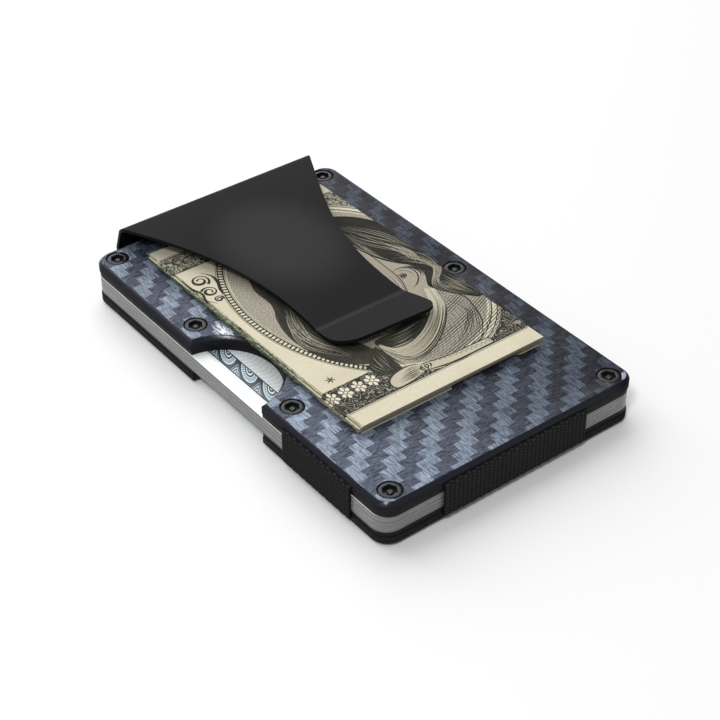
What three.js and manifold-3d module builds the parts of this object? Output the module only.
// Slim card holder with a spring money clip, in millimetres, +Z up.
//
// Two plate sandwiches (an outer plate screwed to a thin inner plate) hold a stack of cards between
// them. Two elastic bands pull the sandwiches together: one loops across the width, one turns round
// the closed +X end. The spring clip is held in the top sandwich, leaves it at the open -X end, turns
// over the top face and presses a bundle of folded banknotes on it. Both sandwiches have a thumb
// notch in the -Y edge. The origin is the centre of the bottom face, so the holder rests on z = 0.

import * as THREE from 'three';
import { mergeVertices } from 'three/addons/utils/BufferGeometryUtils.js';
import Module from 'manifold-3d';

const wasm = await Module();
wasm.setup();

// ---------------------------------------------------------------- driving dimensions
const PLATE_LENGTH = 86;
const PLATE_WIDTH = 54;
const PLATE_CORNER = 3.2;
const EDGE_CHAMFER = 0.7;
const OUTER_THICKNESS = 2.0;
const INNER_THICKNESS = 0.85;
const INNER_INSET = 0.15;
const SEAM = 0.05;
const CARD_SPACE = 3.2;
const SHELL_THICKNESS = OUTER_THICKNESS + SEAM + INNER_THICKNESS;
const TOP_SHELL_Z = SHELL_THICKNESS + CARD_SPACE;
const TOP_FACE_Z = TOP_SHELL_Z + SHELL_THICKNESS;

const NOTCH_CENTRE_Y = -28.0;
const NOTCH_RADIUS = 10.6;
const NOTCH_CHAMFER = 0.6;
const NOTCH_SEGMENTS = 144;

const SCREW_NEAR_Y = -23.4;
const SCREW_FAR_Y = 23.3;
const SCREW_CORNER_X = 39.9;
const SCREW_NOTCH_X = 14.25;
const SCREW_PLACES = [
  [-SCREW_CORNER_X, SCREW_NEAR_Y],
  [-SCREW_NOTCH_X, SCREW_NEAR_Y],
  [SCREW_NOTCH_X, SCREW_NEAR_Y],
  [SCREW_CORNER_X, SCREW_NEAR_Y],
  [SCREW_CORNER_X, SCREW_FAR_Y],
  [0, SCREW_FAR_Y],
  [-SCREW_CORNER_X, SCREW_FAR_Y],
];
const SCREW_HEAD_RADIUS = 2.0;
const SCREW_HEAD_HEIGHT = 1.0;
const SCREW_HEAD_CHAMFER = 0.25;
const SCREW_SHANK_RADIUS = 1.0;
const SCREW_RECESS = 0.05;
const SCREW_CLEARANCE = 0.05;
const SCREW_HOLE_LEAD = 0.15;
const SOCKET_CORNER_RADIUS = 1.3;
const SOCKET_DEPTH = 0.7;
const SOCKET_PIN_RADIUS = 0.55;
const SOCKET_PIN_HEIGHT = 0.4;
const SOCKET_PIN_SIDES = 12;
const SCREW_SEGMENTS = 28;

const BAND_THICKNESS = 0.6;
const BAND_TOP_DROP = 1.1;
const BAND_CORNER = 0.45;
const BAND_CLEARANCE = 0.05;
const CROSS_BAND_X = 25.75;
const CROSS_BAND_WIDTH = 18;
const END_BAND_WIDTH = 30.3;
const END_BAND_INNER_X = 36;
const BAND_INSIDE_CORNER = 0.1;
const POCKET_CLEARANCE = 0.1;

const CLIP_THICKNESS = 0.6;
const CLIP_HALF_WIDTH = 21.2;
const CLIP_LEG_HALF_WIDTH = 19;
const CLIP_LEG_END_X = -24.5;
const CLIP_LEG_CLEARANCE = 0.02;
const CLIP_LEG_Z = TOP_SHELL_Z + INNER_THICKNESS + SEAM + CLIP_THICKNESS / 2 + CLIP_LEG_CLEARANCE;
const CLIP_LOWER_BEND_RADIUS = 0.85;
const CLIP_UPPER_BEND_RADIUS = 1.9;
const CLIP_BEND_X = -42.9;
const CLIP_LEAN_DEG = 20;
const CLIP_TOP_Z = TOP_FACE_Z + 4.5;
const CLIP_DIP_RADIUS = 205;
const CLIP_DIP_DEG = 4.2;
const CLIP_CREASE_X = 2.4;
const CLIP_CREASE_RADIUS = 3;
const CLIP_LIP_RISE_DEG = 12;
const CLIP_TIP_X = 11.4;
const CLIP_TIP_CORNER = 2.6;
const CLIP_NECK_HALF_WIDTH = 9.35;
const CLIP_TIP_HALF_WIDTH = 10.1;
const CLIP_SPLIT_GAP = 0.3;
const CLIP_POCKET_ROOF_GAP = 0.03;
const CLIP_POCKET_END_GAP = 0.2;
// Where the blade's outline leaves its full width and reaches its neck, and the points that pull
// the curves between them and on to the tip.
const CLIP_SHOULDER_X = -41.3;
const CLIP_NECK_X = -3;
const CLIP_SHOULDER_PULL = [-26, 13.55];
const CLIP_NECK_PULL_X = -18;
const CLIP_FLARE_PULL_X = 3;
const CLIP_TIP_PULL_X = 4.5;

const CARD_COUNT = 4;
const CARD_LENGTH = 85.6;
const CARD_WIDTH = 53.98;
const CARD_THICKNESS = 0.76;
const CARD_CORNER = 3.18;

const NOTE_BACK_THICKNESS = 1.0;
const NOTE_FRONT_THICKNESS = 1.9;
const NOTE_GAP = 0.05;
const NOTE_LAYERS = [
  { name: 'folded_note_lower', low: 0, high: 0.34, x: [-35.3, 26.75], y: [-19.1, 20.0] },
  { name: 'folded_note_middle', low: 0.34, high: 0.66, x: [-35.9, 26.8], y: [-19.7, 20.3] },
  { name: 'folded_note_upper', low: 0.66, high: 1, x: [-36.3, 27.1], y: [-19.4, 20.6] },
];

// ---------------------------------------------------------------- materials
const paint = (color, roughness, metalness) =>
  new THREE.MeshStandardMaterial({ color, roughness, metalness });
const PLATE_MATERIAL = paint(0x5d6b7f, 0.45, 0.2);
const INNER_MATERIAL = paint(0x191a1e, 0.5, 0.3);
const SCREW_MATERIAL = paint(0x2c2b2a, 0.35, 0.8);
const BAND_MATERIAL = paint(0x1b1a1c, 0.9, 0);
const CLIP_MATERIAL = paint(0x3a3a3b, 0.55, 0.4);
const CARD_MATERIAL = paint(0xe9ecee, 0.4, 0);
const NOTE_MATERIAL = paint(0xc9c3a6, 0.85, 0);

// ---------------------------------------------------------------- solids
const degrees = Math.PI / 180;
const WELD_DISTANCE = 1e-5;
// Cutters reach this far past the face that they cut.
const PAST = 1;
const BEYOND = 2;

// A closed geometry as a solid that can be cut and joined.
function solid(geometry) {
  const bare = geometry.clone();
  bare.deleteAttribute('normal');
  bare.deleteAttribute('uv');
  const merged = mergeVertices(bare, WELD_DISTANCE);
  const triangles = [];
  for (let i = 0; i < merged.index.count; i += 3) {
    const corners = [0, 1, 2].map((k) => merged.index.getX(i + k));
    if (new Set(corners).size === 3) triangles.push(...corners);
  }
  const mesh = new wasm.Mesh({
    numProp: 3,
    vertProperties: new Float32Array(merged.attributes.position.array),
    triVerts: new Uint32Array(triangles),
  });
  return new wasm.Manifold(mesh);
}

function geometryOf(body) {
  const mesh = body.getMesh();
  const geometry = new THREE.BufferGeometry();
  geometry.setAttribute('position', new THREE.BufferAttribute(mesh.vertProperties, 3));
  geometry.setIndex(new THREE.BufferAttribute(mesh.triVerts, 1));
  geometry.computeVertexNormals();
  return geometry;
}

function roundedRectangle(length, width, radius) {
  const shape = new THREE.Shape();
  const x = length / 2 - radius;
  const y = width / 2 - radius;
  shape.absarc(x, y, radius, 0, Math.PI / 2);
  shape.absarc(-x, y, radius, Math.PI / 2, Math.PI);
  shape.absarc(-x, -y, radius, Math.PI, 1.5 * Math.PI);
  shape.absarc(x, -y, radius, 1.5 * Math.PI, 2 * Math.PI);
  return shape;
}

function slab(shape, z, thickness, curveSegments = 8) {
  const geometry = new THREE.ExtrudeGeometry(shape, { depth: thickness, bevelEnabled: false, curveSegments });
  return geometry.translate(0, 0, z);
}

function box(low, high) {
  const size = high.map((value, axis) => value - low[axis]);
  const geometry = new THREE.BoxGeometry(...size);
  return geometry.translate(...low.map((value, axis) => value + size[axis] / 2));
}

// A turned solid on the Z axis; the profile is a list of [radius, z] from bottom to top.
function turned(profile, segments) {
  const points = profile.map(([radius, z]) => new THREE.Vector2(radius, z));
  return new THREE.LatheGeometry(points, segments).rotateX(Math.PI / 2);
}

// A section drawn in X and Z, extruded across Y between two values.
function acrossY(shape, lowY, highY, curveSegments = 8) {
  const depth = highY - lowY;
  const geometry = new THREE.ExtrudeGeometry(shape, { depth, bevelEnabled: false, curveSegments });
  return geometry.rotateX(Math.PI / 2).translate(0, highY, 0);
}

// A section drawn in Y and Z, extruded along X between two values.
function alongX(shape, lowX, highX, curveSegments = 8) {
  const depth = highX - lowX;
  const geometry = new THREE.ExtrudeGeometry(shape, { depth, bevelEnabled: false, curveSegments });
  return geometry.rotateX(Math.PI / 2).rotateZ(Math.PI / 2).translate(lowX, 0, 0);
}

function named(name, geometry, material) {
  const mesh = new THREE.Mesh(geometry, material);
  mesh.name = name;
  return mesh;
}

// ---------------------------------------------------------------- plate sandwiches
// Each sandwich is built face up, its card side at z = 0. endSide is +1 or -1: the X end with the
// pocket for the end band.
const OUTER_Z = INNER_THICKNESS + SEAM;
const CHANNEL_TOP = SHELL_THICKNESS - BAND_TOP_DROP + BAND_CLEARANCE;
const COUNTERBORE_FLOOR = SHELL_THICKNESS - SCREW_RECESS - SCREW_HEAD_HEIGHT - SCREW_CLEARANCE;

function thumbNotch(chamfer) {
  const face = SHELL_THICKNESS;
  const rim = chamfer > 0
    ? [[NOTCH_RADIUS, face - chamfer], [NOTCH_RADIUS + chamfer + PAST, face + PAST]]
    : [[NOTCH_RADIUS, face + PAST]];
  const profile = [[0, -PAST], [NOTCH_RADIUS, -PAST], ...rim, [0, face + PAST]];
  return turned(profile, NOTCH_SEGMENTS).translate(0, NOTCH_CENTRE_Y, 0);
}

function screwHole([x, y]) {
  const shank = SCREW_SHANK_RADIUS + SCREW_CLEARANCE;
  const head = SCREW_HEAD_RADIUS + SCREW_CLEARANCE;
  const face = SHELL_THICKNESS;
  const lead = SCREW_HOLE_LEAD;
  const profile = [[0, -PAST], [shank, -PAST], [shank, COUNTERBORE_FLOOR], [head, COUNTERBORE_FLOOR],
    [head, face - lead], [head + lead + PAST, face + PAST], [0, face + PAST]];
  return turned(profile, SCREW_SEGMENTS).translate(x, y, 0);
}

function crossChannel(endSide) {
  const centre = endSide * CROSS_BAND_X;
  const half = CROSS_BAND_WIDTH / 2 + BAND_CLEARANCE;
  const y = PLATE_WIDTH / 2 + BEYOND;
  return box([centre - half, -y, OUTER_Z - PAST], [centre + half, y, CHANNEL_TOP]);
}

function endPocket(endSide) {
  const inner = END_BAND_INNER_X - POCKET_CLEARANCE;
  const outer = PLATE_LENGTH / 2 + BEYOND;
  const y = END_BAND_WIDTH / 2 + POCKET_CLEARANCE;
  const [low, high] = endSide > 0 ? [inner, outer] : [-outer, -inner];
  return box([low, -y, OUTER_Z - PAST], [high, y, CHANNEL_TOP]);
}

function clipPocket() {
  const y = CLIP_LEG_HALF_WIDTH + POCKET_CLEARANCE;
  const roof = CLIP_LEG_Z - TOP_SHELL_Z + CLIP_THICKNESS / 2 + CLIP_POCKET_ROOF_GAP;
  const end = CLIP_LEG_END_X + CLIP_POCKET_END_GAP;
  return box([-PLATE_LENGTH / 2 - BEYOND, -y, OUTER_Z - PAST], [end, y, roof]);
}

function outerPlate(endSide, holdsClip) {
  const outline = roundedRectangle(PLATE_LENGTH - 2 * EDGE_CHAMFER, PLATE_WIDTH - 2 * EDGE_CHAMFER,
    PLATE_CORNER - EDGE_CHAMFER);
  const blank = new THREE.ExtrudeGeometry(outline, {
    depth: OUTER_THICKNESS,
    bevelThickness: EDGE_CHAMFER,
    bevelSize: EDGE_CHAMFER,
    bevelSegments: 1,
    curveSegments: 8,
  });
  blank.translate(0, 0, SHELL_THICKNESS - OUTER_THICKNESS - EDGE_CHAMFER);
  const reach = PLATE_LENGTH;
  let plate = solid(blank).subtract(solid(box([-reach, -reach, -reach], [reach, reach, OUTER_Z])));
  plate = plate.subtract(solid(thumbNotch(NOTCH_CHAMFER)));
  for (const place of SCREW_PLACES) plate = plate.subtract(solid(screwHole(place)));
  plate = plate.subtract(solid(crossChannel(endSide))).subtract(solid(endPocket(endSide)));
  if (holdsClip) plate = plate.subtract(solid(clipPocket()));
  return geometryOf(plate);
}

function innerPlate() {
  const outline = roundedRectangle(PLATE_LENGTH - 2 * INNER_INSET, PLATE_WIDTH - 2 * INNER_INSET,
    PLATE_CORNER - INNER_INSET);
  let plate = solid(slab(outline, 0, INNER_THICKNESS)).subtract(solid(thumbNotch(0)));
  for (const place of SCREW_PLACES) plate = plate.subtract(solid(screwHole(place)));
  return geometryOf(plate);
}

function screw() {
  const top = SHELL_THICKNESS - SCREW_RECESS;
  const profile = [[0, SCREW_RECESS], [SCREW_SHANK_RADIUS, SCREW_RECESS],
    [SCREW_SHANK_RADIUS, top - SCREW_HEAD_HEIGHT], [SCREW_HEAD_RADIUS, top - SCREW_HEAD_HEIGHT],
    [SCREW_HEAD_RADIUS, top - SCREW_HEAD_CHAMFER], [SCREW_HEAD_RADIUS - SCREW_HEAD_CHAMFER, top], [0, top]];
  const socket = new THREE.CylinderGeometry(SOCKET_CORNER_RADIUS, SOCKET_CORNER_RADIUS, 2 * SOCKET_DEPTH, 6);
  socket.rotateX(Math.PI / 2).translate(0, 0, top);
  const pin = new THREE.CylinderGeometry(SOCKET_PIN_RADIUS, SOCKET_PIN_RADIUS, 2 * SOCKET_PIN_HEIGHT,
    SOCKET_PIN_SIDES);
  pin.rotateX(Math.PI / 2).translate(0, 0, top - SOCKET_DEPTH);
  const body = solid(turned(profile, SCREW_SEGMENTS)).subtract(solid(socket).subtract(solid(pin)));
  return geometryOf(body);
}

function shell(prefix, endSide, holdsClip) {
  const group = new THREE.Group();
  group.add(named(`${prefix}_outer_plate`, outerPlate(endSide, holdsClip), PLATE_MATERIAL));
  group.add(named(`${prefix}_inner_plate`, innerPlate(), INNER_MATERIAL));
  const screwGeometry = screw();
  SCREW_PLACES.forEach(([x, y], index) => {
    const mesh = named(`${prefix}_screw_${index + 1}`, screwGeometry, SCREW_MATERIAL);
    mesh.position.set(x, y, 0);
    group.add(mesh);
  });
  return group;
}

// ---------------------------------------------------------------- elastic bands
const BAND_LOW_Z = BAND_TOP_DROP;
const BAND_HIGH_Z = TOP_FACE_Z - BAND_TOP_DROP;

function crossBand() {
  const inner = PLATE_WIDTH / 2 + BAND_CLEARANCE;
  const outer = inner + BAND_THICKNESS;
  const section = roundedRectangle(2 * outer, BAND_HIGH_Z - BAND_LOW_Z, BAND_CORNER);
  const hollow = roundedRectangle(2 * inner, BAND_HIGH_Z - BAND_LOW_Z - 2 * BAND_THICKNESS,
    BAND_INSIDE_CORNER);
  section.holes.push(hollow);
  const half = CROSS_BAND_WIDTH / 2;
  const band = alongX(section, CROSS_BAND_X - half, CROSS_BAND_X + half, 3);
  return band.translate(0, 0, (BAND_LOW_Z + BAND_HIGH_Z) / 2);
}

function endBand() {
  const inner = PLATE_LENGTH / 2 + BAND_CLEARANCE;
  const outer = inner + BAND_THICKNESS;
  const start = END_BAND_INNER_X;
  const corner = BAND_CORNER;
  const section = new THREE.Shape();
  section.moveTo(start, BAND_LOW_Z);
  section.absarc(outer - corner, BAND_LOW_Z + corner, corner, -Math.PI / 2, 0);
  section.absarc(outer - corner, BAND_HIGH_Z - corner, corner, 0, Math.PI / 2);
  section.lineTo(start, BAND_HIGH_Z);
  section.lineTo(start, BAND_HIGH_Z - BAND_THICKNESS);
  section.lineTo(inner, BAND_HIGH_Z - BAND_THICKNESS);
  section.lineTo(inner, BAND_LOW_Z + BAND_THICKNESS);
  section.lineTo(start, BAND_LOW_Z + BAND_THICKNESS);
  return acrossY(section, -END_BAND_WIDTH / 2, END_BAND_WIDTH / 2, 3);
}

// ---------------------------------------------------------------- spring clip
// The clip is one sheet. Its centre line is drawn in X and Z as straight runs and arcs, each point
// with the heading there; the sheet is the line thickened to both sides.
class CentreLine {
  constructor(x, z, heading) {
    this.points = [{ x, z, heading }];
  }

  get end() {
    return this.points[this.points.length - 1];
  }

  straight(length) {
    const { x, z, heading } = this.end;
    const along = heading * degrees;
    this.points.push({ x: x + length * Math.cos(along), z: z + length * Math.sin(along), heading });
    return this;
  }

  // Turns by the given angle, clockwise when it is negative, along an arc.
  turn(radius, angle, steps) {
    const chord = 2 * radius * Math.sin((Math.abs(angle) / steps / 2) * degrees);
    for (let step = 0; step < steps; step += 1) {
      const { x, z, heading } = this.end;
      const along = (heading + angle / steps / 2) * degrees;
      this.points.push({
        x: x + chord * Math.cos(along),
        z: z + chord * Math.sin(along),
        heading: heading + angle / steps,
      });
    }
    return this;
  }

  sheet(thickness) {
    const side = (offset) => this.points.map(({ x, z, heading }) => new THREE.Vector2(
      x - offset * Math.sin(heading * degrees), z + offset * Math.cos(heading * degrees)));
    return new THREE.Shape([...side(thickness / 2), ...side(-thickness / 2).reverse()]);
  }
}

const CLIP_TURN_LOW = -(90 + CLIP_LEAN_DEG);
const BEND_STEPS = 8;
const CREASE_STEPS = 4;
const BLADE_CUTTER_HEIGHT = 12;
const BLADE_CURVE_STEPS = 14;

function anchorLine() {
  return new CentreLine(CLIP_LEG_END_X, CLIP_LEG_Z, 180)
    .straight(CLIP_LEG_END_X - CLIP_BEND_X)
    .turn(CLIP_LOWER_BEND_RADIUS, CLIP_TURN_LOW, BEND_STEPS);
}

function bladeLine() {
  const start = anchorLine().straight(CLIP_SPLIT_GAP).end;
  const line = new CentreLine(start.x, start.z, start.heading);
  const lean = start.heading * degrees;
  const bendRise = CLIP_UPPER_BEND_RADIUS * (1 - Math.cos(lean));
  line.straight((CLIP_TOP_Z - bendRise - start.z) / Math.sin(lean));
  line.turn(CLIP_UPPER_BEND_RADIUS, -start.heading, BEND_STEPS);
  line.turn(CLIP_DIP_RADIUS, -CLIP_DIP_DEG, CREASE_STEPS);
  const creaseTurn = CLIP_DIP_DEG + CLIP_LIP_RISE_DEG;
  const creaseReach = CLIP_CREASE_RADIUS * Math.sin((creaseTurn / 2) * degrees);
  const dip = CLIP_DIP_DEG * degrees;
  line.straight((CLIP_CREASE_X - creaseReach - line.end.x) / Math.cos(dip));
  line.turn(CLIP_CREASE_RADIUS, creaseTurn, CREASE_STEPS);
  return line.straight((CLIP_TIP_X - line.end.x) / Math.cos(CLIP_LIP_RISE_DEG * degrees));
}

// Seen from above: full width at the bend, narrowing in a hollow curve to the neck, then a slightly
// wider tip with round corners.
function bladeOutline() {
  const rear = -PLATE_LENGTH / 2 - BEYOND;
  const flareEnd = CLIP_TIP_X - CLIP_TIP_CORNER;
  const wide = CLIP_HALF_WIDTH;
  const narrow = CLIP_NECK_HALF_WIDTH;
  const tip = CLIP_TIP_HALF_WIDTH;
  const corner = CLIP_TIP_CORNER;
  const [pullX, pullY] = CLIP_SHOULDER_PULL;
  const outline = new THREE.Shape();
  outline.moveTo(rear, -wide);
  outline.lineTo(CLIP_SHOULDER_X, -wide);
  outline.bezierCurveTo(pullX, -pullY, CLIP_NECK_PULL_X, -narrow, CLIP_NECK_X, -narrow);
  outline.bezierCurveTo(CLIP_FLARE_PULL_X, -narrow, CLIP_TIP_PULL_X, -tip, flareEnd, -tip);
  outline.absarc(flareEnd, -tip + corner, corner, -Math.PI / 2, 0);
  outline.absarc(flareEnd, tip - corner, corner, 0, Math.PI / 2);
  outline.bezierCurveTo(CLIP_TIP_PULL_X, tip, CLIP_FLARE_PULL_X, narrow, CLIP_NECK_X, narrow);
  outline.bezierCurveTo(CLIP_NECK_PULL_X, narrow, pullX, pullY, CLIP_SHOULDER_X, wide);
  outline.lineTo(rear, wide);
  return outline;
}

function clipBlade() {
  const y = CLIP_HALF_WIDTH + PAST;
  const sheet = acrossY(bladeLine().sheet(CLIP_THICKNESS), -y, y);
  const prism = slab(bladeOutline(), TOP_SHELL_Z, BLADE_CUTTER_HEIGHT, BLADE_CURVE_STEPS);
  return geometryOf(solid(sheet).intersect(solid(prism)));
}

function clipAnchor() {
  const sheet = acrossY(anchorLine().sheet(CLIP_THICKNESS), -CLIP_HALF_WIDTH, CLIP_HALF_WIDTH);
  const end = -PLATE_LENGTH / 2 - BAND_CLEARANCE;
  const leg = box([end - BEYOND, -CLIP_LEG_HALF_WIDTH, 0], [0, CLIP_LEG_HALF_WIDTH, TOP_FACE_Z]);
  const bend = box([end - BEYOND, -CLIP_HALF_WIDTH, 0], [end, CLIP_HALF_WIDTH, TOP_FACE_Z + PAST]);
  return geometryOf(solid(sheet).intersect(solid(leg).add(solid(bend))));
}

// ---------------------------------------------------------------- contents
function card(index) {
  const pitch = CARD_SPACE / CARD_COUNT;
  const z = SHELL_THICKNESS + pitch * index + (pitch - CARD_THICKNESS) / 2;
  return slab(roundedRectangle(CARD_LENGTH, CARD_WIDTH, CARD_CORNER), z, CARD_THICKNESS, 6);
}

// A folded note is a thin pad with round folds along its long sides. It swells from back to front
// with the bundle, so its low and high levels are shares of the bundle's thickness.
function foldedNote({ low, high, x, y }) {
  const [backX, frontX] = x;
  const [nearY, farY] = y;
  // The section is drawn one unit high, with half-round ends, and stretched to size below.
  const section = roundedRectangle(farY - nearY, 1, 0.5);
  const geometry = alongX(section, backX, frontX, 3).translate(0, (nearY + farY) / 2, 0.5);
  const position = geometry.attributes.position;
  const bundleBack = NOTE_LAYERS[2].x[0];
  const bundleFront = NOTE_LAYERS[2].x[1];
  for (let i = 0; i < position.count; i += 1) {
    const share = (position.getX(i) - bundleBack) / (bundleFront - bundleBack);
    const thickness = NOTE_BACK_THICKNESS + (NOTE_FRONT_THICKNESS - NOTE_BACK_THICKNESS) * share;
    const bottom = TOP_FACE_Z + thickness * low + NOTE_GAP;
    const top = TOP_FACE_Z + thickness * high;
    position.setZ(i, bottom + (top - bottom) * position.getZ(i));
  }
  return geometry;
}

// ---------------------------------------------------------------- assembly
const holder = new THREE.Group();

const bottomShell = shell('bottom', -1, false);
bottomShell.rotation.y = Math.PI;
bottomShell.position.z = SHELL_THICKNESS;
holder.add(bottomShell);

const topShell = shell('top', 1, true);
topShell.position.z = TOP_SHELL_Z;
holder.add(topShell);

holder.add(named('cross_elastic_band', crossBand(), BAND_MATERIAL));
holder.add(named('end_elastic_band', endBand(), BAND_MATERIAL));
holder.add(named('clip_anchor', clipAnchor(), CLIP_MATERIAL));
holder.add(named('clip_blade', clipBlade(), CLIP_MATERIAL));

for (let index = 0; index < CARD_COUNT; index += 1) {
  holder.add(named(`card_${index + 1}`, card(index), CARD_MATERIAL));
}
for (const layer of NOTE_LAYERS) {
  holder.add(named(layer.name, foldedNote(layer), NOTE_MATERIAL));
}

export default holder;
